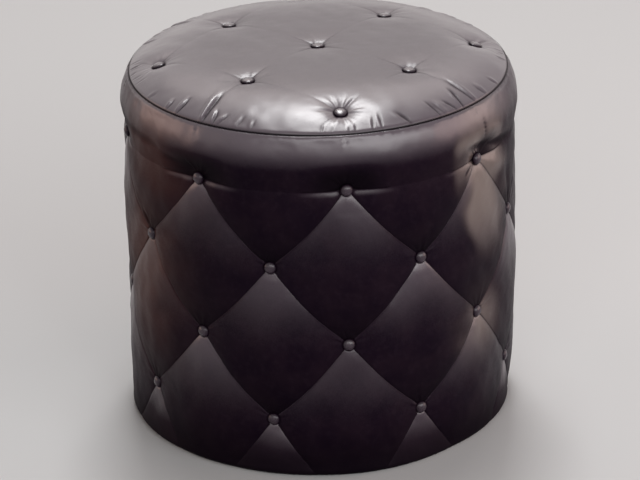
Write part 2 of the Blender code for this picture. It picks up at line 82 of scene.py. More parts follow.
class Wire:
    def __init__(self, recipe, socket):
        self.recipe, self.socket = recipe, socket

    def maths(self, operation, *values):
        return self.recipe.node("ShaderNodeMath", {"operation": operation}, dict(enumerate(values)))

    def __add__(self, other):
        return self.maths("ADD", self, other)

    def __radd__(self, other):
        return self.maths("ADD", other, self)

    def __sub__(self, other):
        return self.maths("SUBTRACT", self, other)

    def __rsub__(self, other):
        return self.maths("SUBTRACT", other, self)

    def __mul__(self, other):
        return self.maths("MULTIPLY", self, other)

    def __rmul__(self, other):
        return self.maths("MULTIPLY", other, self)

    def most(self, other):
        return self.maths("MAXIMUM", self, other)

    def least(self, other):
        return self.maths("MINIMUM", self, other)

    def step(self, low, high):
        # 0 below low and 1 above high, with a soft rise between
        settings = {"interpolation_type": "SMOOTHSTEP"}
        return self.recipe.node("ShaderNodeMapRange", settings, {"Value": self, 1: low, 2: high})


class Recipe:
    # One material, made of nodes
    def __init__(self, name):
        self.material = bpy.data.materials.new(name)
        self.material.use_nodes = True
        self.nodes = self.material.node_tree.nodes
        self.links = self.material.node_tree.links
        self.shader = self.nodes["Principled BSDF"]

    def node(self, kind, settings=None, values=None, output=0):
        made = self.nodes.new(kind)
        for name, value in (settings or {}).items():
            setattr(made, name, value)
        for key, value in (values or {}).items():
            if isinstance(value, Wire):
                self.links.new(value.socket, made.inputs[key])
            else:
                made.inputs[key].default_value = value
        return Wire(self, made.outputs[output])

    def place(self):
        return self.node("ShaderNodeTexCoord", output="Object")

    def stored(self, name):
        return self.node("ShaderNodeAttribute", {"attribute_name": name}, output="Fac")

    def stretched(self, scale):
        return self.node("ShaderNodeMapping", {}, {"Vector": self.place(), "Scale": scale})

    def noise(self, scale, detail=3, roughness=0.55, vector=None, distortion=0.0):
        return self.node("ShaderNodeTexNoise", {}, {"Vector": vector or self.place(), "Scale": scale,
                         "Detail": detail, "Roughness": roughness, "Distortion": distortion})

    def cells(self, scale, feature="DISTANCE_TO_EDGE", vector=None):
        return self.node("ShaderNodeTexVoronoi", {"feature": feature},
                         {"Vector": vector or self.place(), "Scale": scale}, "Distance")

    def blend(self, factor, first, second):
        first, second = (value if isinstance(value, Wire) else (*value, 1) for value in (first, second))
        return self.node("ShaderNodeMix", {"data_type": "RGBA"}, {0: factor, 6: first, 7: second}, 2)

    def bump(self, height, strength, distance):
        return self.node("ShaderNodeBump", {}, {"Strength": strength, "Distance": distance,
                                                "Height": height})

    def finish(self, **values):
        for name, value in values.items():
            socket = self.shader.inputs[name.replace("_", " ")]
            if isinstance(value, Wire):
                self.links.new(value.socket, socket)
            else:
                socket.default_value = value
        return self.material


# Finishes

leatherFinish = {"drape": 26.0, "mottle": 140.0, "drift": 330.0, "driftReach": 0.0012, "grain": 620.0,
                 "grainHeight": 0.00012, "grainStrength": 0.34, "pores": 1500.0,
                 "dark": (0.0052, 0.0018, 0.0063), "brown": (0.0100, 0.0045, 0.0094),
                 "wornAndLit": (0.062, 0.040, 0.058), "paintedShade": (0.0012, 0.0004, 0.0014),
                 "paintedWarmReflection": (0.080, 0.030, 0.022), "paintedBeigeReflection": (0.120, 0.089, 0.078),
                 "sheen": 0.05, "tint": (1.0, 0.84, 0.97), "roughness": 0.32, "polishIor": 1.65,
                 "polishRoughness": 0.31, "leastPolish": 0.08, "buttonShine": 0.04}


def makeLeather(name, shine=0.0):
    finish, recipe = leatherFinish, Recipe(name)
    crease, wearAndPaintedLight, paintedWarmReflection, paintedBeigeReflection = (recipe.stored(mark) for mark in ("crease", "wearAndPaintedLight", "paintedWarmReflection", "paintedBeigeReflection"))
    clouds = recipe.noise(finish["drape"], 4)
    mottle = recipe.noise(finish["mottle"], 3)

    # Pebbled grain: cells whose places are shaken a little
    drift = recipe.node("ShaderNodeVectorMath", {"operation": "SCALE"},
                        {0: recipe.noise(finish["drift"], 2), "Scale": finish["driftReach"]})
    grainPlace = recipe.node("ShaderNodeVectorMath", {"operation": "ADD"}, {0: recipe.place(), 1: drift})
    pebbles = recipe.cells(finish["grain"], vector=grainPlace).step(0.0, 0.28)
    pores = recipe.noise(finish["pores"], 2)

    # Colour, from the dye to places made lighter by wearing and by painted light, the painted reflections,
    # and the painted shade in the creases
    colour = recipe.blend(clouds.step(0.35, 0.68), finish["dark"], finish["brown"])
    # Paler where wearing shows, and where painted light stands in for lit places
    rubbedAndLit = (wearAndPaintedLight * 0.7 + mottle.step(0.45, 0.75) * 0.07).least(1.0)
    colour = recipe.blend(rubbedAndLit, colour, finish["wornAndLit"])
    # Painted reflections: a warm red-brown one and a beige one
    colour = recipe.blend(paintedWarmReflection, colour, finish["paintedWarmReflection"])
    colour = recipe.blend(paintedBeigeReflection, colour, finish["paintedBeigeReflection"])
    # Painted shade: near black in the creases, above the buttons, under the roll and at the foot
    colour = recipe.blend(crease * 0.92, colour, finish["paintedShade"])
    rough = (finish["roughness"] - shine + (clouds - 0.5) * 0.16 + (1 - pebbles) * 0.08
             + crease * 0.25 - wearAndPaintedLight * 0.03)
    polish = (wearAndPaintedLight * 1.05 + (clouds - 0.5) * 0.1 * wearAndPaintedLight + finish["leastPolish"] - crease * 0.95
              - (1 - pebbles) * 0.12).most(0.0).least(1.0)
    normal = recipe.bump(pebbles * 0.7 + pores * 0.3, finish["grainStrength"], finish["grainHeight"])
    return recipe.finish(Base_Color=colour, Roughness=rough, Normal=normal,
                         Specular_IOR_Level=finish["sheen"], Specular_Tint=(*finish["tint"], 1),
                         Coat_Weight=polish, Coat_IOR=finish["polishIor"],
                         Coat_Roughness=finish["polishRoughness"] - 2 * shine)


def makeThread():
    recipe = Recipe("seamThread")
    twist = recipe.noise(900.0, 2)
    colour = recipe.blend(twist, (0.0035, 0.0022, 0.003), (0.012, 0.009, 0.010))
    return recipe.finish(Base_Color=colour, Roughness=0.62 + (twist - 0.5) * 0.2,
                         Normal=recipe.bump(twist, 0.5, 0.0002))


def makePly(name, light, dark, along):
    recipe = Recipe(name)
    rings = recipe.noise(9.0, 5, 0.6, recipe.stretched(along), 0.8)
    fibres = recipe.noise(160.0, 3, 0.6, recipe.stretched(along))
    colour = recipe.blend(rings.step(0.3, 0.7), light, dark)
    colour = recipe.blend(fibres.step(0.4, 0.75) * 0.35, colour, tuple(0.55 * part for part in dark))
    return recipe.finish(Base_Color=colour, Roughness=0.62 + fibres * 0.2,
                         Normal=recipe.bump(fibres, 0.4, 0.0004))


def makeFoam():
    recipe = Recipe("paddingFoam")
    bubbles = recipe.cells(900.0, "F1")
    colour = recipe.blend(bubbles.step(0.2, 0.8), (0.62, 0.56, 0.36), (0.74, 0.7, 0.52))
    return recipe.finish(Base_Color=colour, Roughness=0.92 - bubbles * 0.08,
                         Normal=recipe.bump(bubbles, 0.7, 0.0006))


def makeDustCloth():
    recipe = Recipe("dustClothWeave")
    dots = recipe.cells(700.0, "F1")
    fibres = recipe.noise(420.0, 4, 0.7, recipe.stretched((1, 3.5, 1)))
    colour = recipe.blend(dots.step(0.25, 0.6), (0.012, 0.012, 0.014), (0.03, 0.03, 0.033))
    colour = recipe.blend(fibres.step(0.5, 0.8) * 0.4, colour, (0.06, 0.06, 0.065))
    return recipe.finish(Base_Color=colour, Roughness=0.86 + fibres * 0.1,
                         Normal=recipe.bump(dots + fibres * 0.6, 0.6, 0.0004))


def makeSteel(name, colour, rough):
    recipe = Recipe(name)
    brushed = recipe.noise(260.0, 4, 0.6, recipe.stretched((1, 1, 6)))
    tint = recipe.blend(brushed.step(0.3, 0.8), colour, tuple(0.72 * part for part in colour))
    return recipe.finish(Base_Color=tint, Metallic=1.0, Roughness=rough + (brushed - 0.5) * 0.16,
                         Normal=recipe.bump(brushed, 0.25, 0.0002))


leather = makeLeather("drumLeather")
buttonLeather = makeLeather("buttonLeather", leatherFinish["buttonShine"])
thread = makeThread()
slotFinishes = {
    "foam": makeFoam(), "dust_cloth": makeDustCloth(), "leather": leather,
    "board": makePly("birchPly", (0.52, 0.37, 0.22), (0.36, 0.23, 0.12), (1, 9, 1)),
    "hardboard": makePly("brownHardboard", (0.2, 0.115, 0.06), (0.13, 0.07, 0.035), (1, 1, 1)),
    "post": makePly("pinePost", (0.64, 0.47, 0.28), (0.46, 0.3, 0.15), (9, 9, 1)),
    "glide": makeSteel("nickelGlide", (0.62, 0.61, 0.6), 0.3),
}
slotOfNode = {"base_board": "board", "seat_board": "board", "side_wall": "hardboard",
              "dust_cover": "dust_cloth", "side_foam": "foam", "seat_foam": "foam"}
for name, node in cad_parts.items():
    kind = "post" if "post" in name else "glide" if "glide" in name else "leather"
    slot = slotOfNode.get(name, kind)
    node.data.materials.clear()
    node.data.materials.append(slotFinishes[slot])
print("stage: finishes made")


# The drum's main sizes, as the frame has them

drum = {"radius": 0.240, "seamHeight": 0.437, "setback": 0.0108, "shoulder": 0.042, "crown": 0.028,
        "crownPower": 5, "crownReach": 0.2292, "underside": 0.0010, "corner": 0.008, "turnedIn": 0.035,
        "flange": 0.0050, "flangeRise": 0.012, "padBack": 0.2120, "padFloor": 0.0064, "padTop": 0.4305,
        "seatTop": 0.3984, "columns": 8, "rows": 4, "topRow": 0.3679, "bottomRow": 0.0730,
        "joint": 101.25, "seatDepth": 0.0095}
drum["pitch"] = (drum["topRow"] - drum["bottomRow"]) / (drum["rows"] - 1)
drum["cornerTop"] = drum["underside"] + drum["corner"]
drum["cornerArc"] = drum["corner"] * math.pi / 2
drum["columnWidth"] = math.tau * drum["radius"] / drum["columns"]
topSizes = {"seam": 0.2289, "cornerButton": 0.1919}
topSizes["pitch"] = topSizes["cornerButton"] / math.sqrt(2)


def crownHeight(radius):
    # Height of the top's crests
    share = np.clip(radius / drum["crownReach"], 0, 1)
    return drum["seamHeight"] + drum["crown"] * (1 - share ** drum["crownPower"])


def swell(share):
    # Height of the padding: 0 on a pleat, 1 half-way to the next, with a round back
    return np.sqrt(1 - (1 - np.clip(share, 0, 1)) ** 2)


def slack(share):
    # Fall of the side leather towards a pleat: 1 on the pleat, 0 half-way to the next
    share = np.clip(share, 0, 1)
    broad, close, crisp = (1 - share) ** 1.4, np.exp(-share / 0.16), np.exp(-share / 0.035)
    return 0.60 * broad + (1 - share) * (0.22 * close + 0.18 * crisp)


def smoothStep(value, low, high):
    share = np.clip((value - low) / (high - low), 0, 1)
    return share * share * (3 - 2 * share)


def fade(value, low, high):
    return 1 - smoothStep(value, low, high)


def bell(value, width, power=2):
    # 1 at nought, and down to about a third at the width
    return np.exp(-(value / width) ** power)


def waves(points, shortest, longest, count, seed):
    # A gentle unevenness between about -1 and 1, the same on every run
    draw = np.random.RandomState(seed)
    total = np.zeros(len(points))
    for _ in range(count):
        heading = draw.normal(size=3)
        heading /= np.linalg.norm(heading)
        length = draw.uniform(shortest, longest)
        total += np.sin(points @ heading * (math.tau / length) + draw.uniform(0, math.tau))
    return total / math.sqrt(count)


def newObject(name, mesh, material):
    data = bpy.data.meshes.new(name)
    mesh.to_mesh(data)
    mesh.free()
    made = bpy.data.objects.new(name, data)
    bpy.context.scene.collection.objects.link(made)
    data.materials.append(material)
    return made


def newPiece(name, mesh, material):
    piece = newObject(name, mesh, material)
    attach(piece, "root")
    return piece


def placesOf(mesh):
    return np.array([corner.co[:] for corner in mesh.verts])


def movePlaces(mesh, points):
    for corner, point in zip(mesh.verts, points):
        corner.co = point


def storeMarks(mesh, marks):
    # Keeps how creased, worn or tinted each point is, for the leather's material
    for mark, values in marks.items():
        layer = mesh.verts.layers.float.new(mark)
        for corner, value in zip(mesh.verts, values):
            corner[layer] = value


def spun(mesh, profile, steps):
    # Turns a profile of radii and heights into a round body
    corners = [mesh.verts.new((r, 0, z)) for r, z in profile]
    edges = [mesh.edges.new(pair) for pair in zip(corners, corners[1:])]
    bmesh.ops.spin(mesh, geom=corners + edges, cent=(0, 0, 0), axis=(0, 0, 1), angle=math.tau,
                   steps=steps, use_merge=True)
    bmesh.ops.remove_doubles(mesh, verts=mesh.verts[:], dist=1e-6)
    bmesh.ops.recalc_face_normals(mesh, faces=mesh.faces[:])


# Side leather: one grid that runs along both sets of pleats, cut to a panel and then padded

side = {"cuts": 58, "crowding": 0.75, "sag": 0.0038, "pleatButton": 0.0041, "pleatMiddle": 0.0044,
        "dimple": 0.0018, "dimpleReach": 0.014, "rowValley": 0.0026, "valleyReach": 0.024,
        "pocket": 0.0070, "pocketReach": 0.21, "pocketHeight": 0.036, "foldEnd": 0.27, "lipFall": 0.0058,
        "pleatStep": 0.136, "lean": 0.0028, "rowLean": 1.2, "leanStart": 0.0005, "leanEnd": 0.0036,
        "unevenness": 0.0004, "swells": 0.0007, "scallop": 0.00022, "crinkle": 0.00065,
        "buttonEdge": 0.0079, "seamCreases": 0.0007, "seamCurl": 0.006, "curlIn": 0.0022,
        "curlDown": 0.0024, "tuck": 0.009, "tuckHeight": 0.13, "jointGroove": 0.0022,
        "jointReach": 0.0017, "turnedEdge": 0.1971}
# Extra lines of the flat grid: under the seam, at the top row, round the corner, beside a joint
extraLines = {"seam": (0.0006, 0.0014, 0.0024, 0.0036, 0.0052, 0.0075, 0.0105),
              "topRow": (-0.004, -0.0022, -0.0009, 0.0009, 0.0022, 0.004),
              "corner": (-0.4, 0, 0.2, 0.4, 0.6, 0.8, 1.0, 1.3),
              "joint": (0.0004, 0.001, 0.002, 0.0035, 0.006)}
# Loose folds in the side leather: azimuth and height of both ends, half width, depth, painted shade
looseFolds = [((40.6, 0.386), (66.0, 0.369), 0.0066, 0.0040, 0.98),
              ((47.6, 0.388), (47.2, 0.417), 0.0016, 0.0011, 0.75),
              ((39.0, 0.355), (42.8, 0.363), 0.0024, 0.0013, 0.75),
              ((-58.5, 0.384), (-43.0, 0.378), 0.0062, 0.0020, 0.85),
              ((-85.0, 0.395), (-61.0, 0.392), 0.0048, 0.0016, 0.55),
              ((-70.8, 0.294), (-67.9, 0.279), 0.0036, 0.0022, 0.95),
              ((66.5, 0.285), (62.5, 0.332), 0.0060, 0.0018, 0.45),
              ((50.5, 0.354), (60.5, 0.346), 0.0085, -0.0016, 0.0),
              ((48.5, 0.400), (60.0, 0.396), 0.0060, -0.0010, 0.0)]


def rowHeight(row):
    # Height of a place in the lattice; pleats sag a little between their buttons
    sag = np.where((row > 0) & (row < 3), side["sag"] * np.sin(np.pi * row) ** 2, 0)
    lower = drum["bottomRow"] - (row - 3) * 2 * (drum["bottomRow"] - drum["cornerTop"])
    return np.where(row > 3, lower, drum["topRow"] - drum["pitch"] * row - sag)


def rowAt(height):
    rows = np.linspace(-1.2, 4.6, 6000)
    return float(np.interp(-height, -rowHeight(rows), rows))


def cutAcross(mesh, along, place, keep=None, reach=0.09):
    # Cuts the flat grid along a line; keep says which side stays, and None keeps both
    if keep is None:
        faces = [face for face in mesh.faces if abs(face.calc_center_median()[along] - place) < reach]
        geometry = faces + list({edge for face in faces for edge in face.edges}) \
            + list({corner for face in faces for corner in face.verts})
    else:
        geometry = mesh.verts[:] + mesh.edges[:] + mesh.faces[:]
    heading, middle = Vector((0, 0, 0)), Vector((0, 0, 0))
    heading[along], middle[along] = 1, place
    bmesh.ops.bisect_plane(mesh, geom=geometry, dist=1e-6, plane_co=middle, plane_no=heading,
                           clear_outer=keep == "below", clear_inner=keep == "above")


def flatPanel(low, high):
    # The lattice steps (a, b) count the two sets of pleats; column = (a + b) / 2 and row = a - b
    seamRow = rowAt(drum["seamHeight"])
    lastRow = rowAt(drum["cornerTop"] - drum["cornerArc"] - drum["turnedIn"])
    middle, lean = (low + high) / 2, (seamRow + lastRow) / 4
    centres = (round(middle + lean), round(middle - lean))
    cells = 2 * math.ceil((high - low) / 2 + (lastRow - seamRow) / 4 + 0.5)
    mesh = bmesh.new()
    bmesh.ops.create_grid(mesh, x_segments=cells * side["cuts"], y_segments=cells * side["cuts"],
                          size=cells / 2)
    # The grid's lines crowd towards the pleats
    for corner in mesh.verts:
        steps = []
        for value, centre in zip(corner.co.xy, centres):
            whole = math.floor(value + 1e-5)
            part = value - whole
            steps.append(centre + whole + part - side["crowding"] / math.tau * math.sin(math.tau * part))
        corner.co = ((steps[0] + steps[1]) / 2, steps[0] - steps[1], 0)
    for along, place, keep in ((0, low, "above"), (0, high, "below"),
                               (1, seamRow, "above"), (1, lastRow, "below"), (1, 0.0, None)):
        cutAcross(mesh, along, place, keep)
    for mark, start, scale in (("seam", drum["seamHeight"], 1), ("topRow", drum["topRow"], 1),
                               ("corner", drum["cornerTop"], drum["cornerArc"])):
        for drop in extraLines[mark]:
            cutAcross(mesh, 1, rowAt(start - drop * scale))
    for inset in extraLines["joint"]:
        cutAcross(mesh, 0, low + inset / drum["columnWidth"])
        cutAcross(mesh, 0, high - inset / drum["columnWidth"])
    return mesh, seamRow, lastRow


def lattice(column, row, height):
    # Steps along both sets of pleats, the nearest crossing, the way to it, and to the nearest column
    a, b = column + row / 2, column - row / 2
    nearA, nearB = np.round(a), np.round(b)
    across = (column - (nearA + nearB) / 2) * drum["columnWidth"]
    up = height - (drum["topRow"] - (nearA - nearB) * drum["pitch"])
    return a, b, nearA, nearB, across, up, np.abs(column - np.round(column))


def foldShare(spread):
    # 1 where the top row's pockets have a crisp fold, 0 between the buttons
    return fade(spread, side["foldEnd"] - 0.1, side["foldEnd"] + 0.1)


def lineDepth(share):
    # Depth of a pleat from one button, at 0, to the next, at 1
    return side["pleatMiddle"] + (side["pleatButton"] - side["pleatMiddle"]) * (1 - share) ** 2


def sideRelief(net, column, row, height):
    # Depth of the pleats, pockets and dimples below the crests, and how much painted shade each place gets
    a, b, nearA, nearB, across, up, spread = net
    shareA, shareB = 2 * np.abs(a - nearA), 2 * np.abs(b - nearB)
    pleats = lineDepth(shareB) * slack(shareA) + lineDepth(shareA) * slack(shareB)

    # Pockets over the top row: the padding hangs over each button, and only dips a little between them
    rise, drop = np.clip(height - drum["topRow"], 0, None), np.clip(drum["topRow"] - height, 0, None)
    folded = foldShare(spread)
    pocket = side["pocket"] * bell(spread, side["pocketReach"])
    above = side["rowValley"] * bell(rise, side["valleyReach"]) \
        + pocket * np.clip(1 - rise / side["pocketHeight"], 0, 1) ** 1.6
    spare = side["rowValley"] + pocket - 2 * lineDepth(2 * spread) * slack(2 * spread)
    below = pleats + spare * (folded * np.exp(-drop / side["lipFall"])
                              + (1 - folded) * bell(drop, side["valleyReach"]))
    depth = np.where(row < 0, above, below)

    # Dimples at the buttons, with radiating crinkles
    buttonRow = nearA - nearB
    real = (buttonRow > -0.5) & (buttonRow < drum["rows"] - 0.5)
    reach = np.where(real, np.hypot(across, up), 1.0)
    depth = depth + side["dimple"] * bell(reach, side["dimpleReach"], 1.15)
    turn = np.arctan2(across, up)
    phase = (nearA * 12.9898 + nearB * 78.233) % math.tau
    crinkle = (np.cos(13 * turn + phase) + 0.7 * np.cos(8 * turn + 2.3 * phase)
               + 0.5 * np.cos(21 * turn - 1.7 * phase)) / 2.2
    window = smoothStep(reach, 0.0075, 0.012) * fade(reach, 0.014, 0.036)
    depth = depth + side["crinkle"] * crinkle * window * (0.55 + 0.45 * np.cos(turn))
    seat = fade(reach, 0.0066, 0.0084)
    depth = depth * (1 - seat) + drum["seatDepth"] * seat

    # Pinch creases under the seam, above each button of the top row
    shift = (column - np.round(column) - 0.012 * np.sin(3 * np.round(column))) * drum["columnWidth"]
    under = drum["seamHeight"] - height
    pinch = smoothStep(under, 0.001, 0.004) * fade(under, 0.012, 0.023)
    pinch = pinch * (bell(shift, 0.0016) - 0.7 * bell(shift + 0.0034, 0.002))
    depth = depth + side["seamCreases"] * pinch
    depth = depth * smoothStep(height, drum["cornerTop"] - drum["cornerArc"] - 0.004,
                               drum["cornerTop"] + 0.012)

    # Painted shade in the pleats, round the buttons and along the seam
    pleatLine = np.maximum(np.exp(-shareA / 0.018), np.exp(-shareB / 0.018)) * (row >= 0)
    rowLine = np.exp(-np.abs(height - drum["topRow"]) / 0.0022) * folded
    ring = 0.7 * np.exp(-np.abs(reach - side["buttonEdge"]) / 0.0008)
    spikes = np.clip(0.35 + np.cos(15 * turn + phase), 0, 1) * np.clip(np.cos(turn), 0, 1) ** 1.5
    spikes = spikes * smoothStep(reach, 0.0070, 0.0085) * fade(reach, 0.011, 0.021)
    seamLine = np.exp(-np.clip(under, 0, None) / 0.0012)
    crease = np.clip(np.maximum.reduce([pleatLine * 0.85, rowLine, ring, spikes, seamLine]), 0, 1)
    return depth, crease


def lapOver(net, row, height):
    # How far the upper side of a pleat, or of a pocket, laps over the lower one
    a, b, nearA, nearB, across, up, spread = net
    partA, partB, reach = a - nearA, b - nearB, np.hypot(across, up)

    def lap(away):
        return side["lean"] * (1 - np.exp(-away / side["leanStart"])) * np.exp(-away / side["leanEnd"])

    pleats = lap(np.abs(partA) * side["pleatStep"]) * (partA < 0) \
        + lap(np.abs(partB) * side["pleatStep"]) * (partB > 0)
    pleats = pleats * smoothStep(reach, 0.009, 0.03) * (row > 0) * smoothStep(height, 0.02, 0.045)
    pleats = pleats * (1 - smoothStep(reach, 0.05, 0.066) * 0.5)
    pockets = lap(np.abs(height - drum["topRow"])) * side["rowLean"] * (row < 0)
    return pleats + pockets * smoothStep(spread, 0.04, 0.09) * foldShare(spread)


def wallProfile(height, depth, lifted):
    # The outside from the seam over the shoulder, down the wall, round the corner and inwards
    shoulder = np.clip((height - drum["seamHeight"] + drum["shoulder"]) / drum["shoulder"], 0, 1)
    curl = np.clip(1 - (drum["seamHeight"] - height) / side["seamCurl"], 0, 1)
    wall = drum["radius"] - drum["setback"] * shoulder ** 2 - side["curlIn"] * curl ** 2
    turn = np.clip(drum["cornerTop"] - height, 0, drum["cornerArc"]) / drum["corner"]
    inward = np.clip(drum["cornerTop"] - height - drum["cornerArc"], 0, None)
    bend = drum["corner"] - depth
    cornerRadius = drum["radius"] - drum["corner"] + bend * np.cos(turn) - inward
    cornerHeight = drum["cornerTop"] - bend * np.sin(turn) \
        + (drum["flange"] - drum["underside"]) * smoothStep(inward, 0.0, drum["flangeRise"])
    upright = height >= drum["cornerTop"]
    radius = np.where(upright, wall - depth, cornerRadius)
    return radius, np.where(upright, lifted - side["curlDown"] * curl ** 3, cornerHeight), curl


def pushedIn(turned, height):
    # The padding has been pushed in at the foot of one side
    tuck = side["tuck"] * np.clip(1 - height / side["tuckHeight"], 0, 1) ** 1.2
    return tuck * smoothStep(turned, 0.05, 0.7) * fade(turned, 1.8, 2.6)


def foldedIn(turned, height, reach):
    # Depth and painted shade of the loose folds, which stop short of the buttons
    depth, shade = np.zeros(len(height)), np.zeros(len(height))
    for (startTurn, startHeight), (endTurn, endHeight), half, sink, dark in looseFolds:
        dx, dy = math.radians(endTurn - startTurn) * drum["radius"], endHeight - startHeight
        across, up = (turned - math.radians(startTurn)) * drum["radius"], height - startHeight
        share = np.clip((across * dx + up * dy) / (dx * dx + dy * dy), 0, 1)
        fold = bell(np.hypot(across - share * dx, up - share * dy), half)
        fold = fold * (1 - 0.6 * np.abs(2 * share - 1) ** 3) * smoothStep(reach, 0.008, 0.013)
        depth, shade = depth + sink * fold, np.maximum(shade, dark * fold)
    return depth, shade


def sideMarks(net, row, height, turned, crest, crease):
    # Below each button the leather is pulled paler and painted lighter as if lit, and painted shade darkens
    # it where it gathers over one
    a, b, nearA, nearB, spread = *net[:4], net[6]
    down = (a - np.floor(a)) + (np.ceil(b) - b)
    varied = np.clip(1.05 + 0.3 * waves(crest, 0.07, 0.16, 12, 41), 0.6, 1.3)
    pulledAndLit = bell(down, 0.42, 1.3) * (row > 0) * varied
    paintedShade = bell(2 - down, 0.50, 1.4) * (row > 0)
    # Painted highlights along the lips of the pleats
    lipHighlight = np.maximum(np.exp(-2 * np.abs(a - nearA) / 0.022) * (a > nearA),
                     np.exp(-2 * np.abs(b - nearB) / 0.022) * (b < nearB)) * (row > 0)
    # The roll is paler near the seam, partly from wearing and partly from painted light
    rubbedAndLitRoll = smoothStep(height, 0.390, 0.427) \
        * (1 - 0.45 * smoothStep(np.abs(turned + 0.13), 1.1, 1.35))
    drop = np.clip(drum["topRow"] - height, 0, None)
    litLip = foldShare(spread) * smoothStep(spread, 0.035, 0.07) \
        * bell(drop - 0.0035, 0.003) * (row > 0)
    wearAndPaintedLight = np.maximum.reduce([pulledAndLit, 0.5 * lipHighlight * varied, rubbedAndLitRoll, 0.45 * litLip])
    crease = crease * (1 - 0.7 * lipHighlight) * (1 - 0.9 * litLip)

    # A painted red-brown reflection on one flank, and a painted beige reflection on the other
    ragged = turned + 0.035 * waves(crest, 0.03, 0.07, 14, 43)

    def patch(turn, wide, level, tall):
        return np.exp(-((ragged - turn) / wide) ** 2 - ((height - level) / tall) ** 2)

    paintedWarmReflection = np.maximum(0.8 * patch(-1.25, 0.26, 0.235, 0.10), 0.6 * patch(-1.15, 0.26, 0.375, 0.07))
    border = 0.63 + 2.2 * np.clip(0.31 - height, 0, None)
    paintedBeigeReflection = smoothStep(ragged, border - 0.03, border + 0.09) * fade(ragged, 0.86, 1.12) \
        * smoothStep(height, 0.215, 0.33) * (1 - 0.65 * smoothStep(height, 0.395, 0.415))
    paintedBeigeReflection = np.maximum(paintedBeigeReflection, 0.85 * patch(0.82, 0.13, 0.160, 0.032))

    # Painted shade under the roll and at the foot
    lens = bell(spread, 0.22, 4)
    overhang = (0.25 + 0.75 * lens) * (row <= 0) \
        * fade(height, 0.371 + 0.012 * lens, 0.403 + 0.006 * lens)
    overhang = overhang * (1 - 0.8 * paintedBeigeReflection * fade(turned, 0.76, 0.82))
    foot = 0.85 * fade(height, 0.004, 0.085)
    crease = np.clip(np.maximum.reduce([crease, 0.95 * paintedShade, overhang, foot]), 0, 1)
    wearAndPaintedLight = np.clip(np.maximum.reduce([wearAndPaintedLight, 0.85 * paintedBeigeReflection, 0.3 * paintedWarmReflection]), 0, 1)
    return {"crease": crease, "wearAndPaintedLight": wearAndPaintedLight, "paintedWarmReflection": paintedWarmReflection, "paintedBeigeReflection": paintedBeigeReflection * (1 - crease)}


def sideSurface(column, row):
    height = rowHeight(row)
    net = lattice(column, row, height)
    reach = np.hypot(net[4], net[5])
    depth, crease = sideRelief(net, column, row, height)
    radius, lift, curl = wallProfile(height, depth, height - lapOver(net, row, height))
    angle = column * math.tau / drum["columns"]
    turned = (angle + math.pi) % math.tau - math.pi
    crest = np.stack(spotAt(angle, drum["radius"], height), axis=1)
    ripples = waves(crest, 0.022, 0.06, 22, 5) + 0.25 * waves(crest, 0.009, 0.02, 26, 9)
    uneven = side["unevenness"] * ripples + side["swells"] * waves(crest, 0.10, 0.19, 9, 3)
    calm = smoothStep(reach, 0.008, 0.02) * smoothStep(drum["seamHeight"] - height, 0.001, 0.012) \
        * smoothStep(height, 0.012, 0.03)
    scallop = side["scallop"] * waves(crest, 0.007, 0.013, 16, 12) \
        * smoothStep(curl, 0.0, 0.3) * fade(curl, 0.9, 1.0)
    radius = radius + uneven * calm + scallop
    radius = radius - pushedIn(turned, height) * smoothStep(radius, 0.204, 0.228)
    sunk, shade = foldedIn(turned, height, reach)
    radius = radius - sunk
    points = np.stack(spotAt(angle, radius, lift), axis=1)
    return points, sideMarks(net, row, height, turned, crest, np.maximum(crease, shade))


def moveOut(mesh, edges, radius, height):
    # Extrudes a chain of edges and sets the new one at a radius and height
    made = bmesh.ops.extrude_edge_only(mesh, edges=edges)["geom"]
    for corner in (part for part in made if isinstance(part, bmesh.types.BMVert)):
        corner.co = spotAt(math.atan2(corner.co.x, -corner.co.y), radius, height)
    return [part for part in made if isinstance(part, bmesh.types.BMEdge)]


def closeMesh(mesh, rim, name):
    bmesh.ops.holes_fill(mesh, edges=rim, sides=0)
    bmesh.ops.recalc_face_normals(mesh, faces=mesh.faces[:])
    bmesh.ops.triangulate(mesh, faces=[face for face in mesh.faces if len(face.verts) > 4])
    print(name, len(mesh.faces), "faces, open edges",
          sum(edge.is_boundary or not edge.is_manifold for edge in mesh.edges))


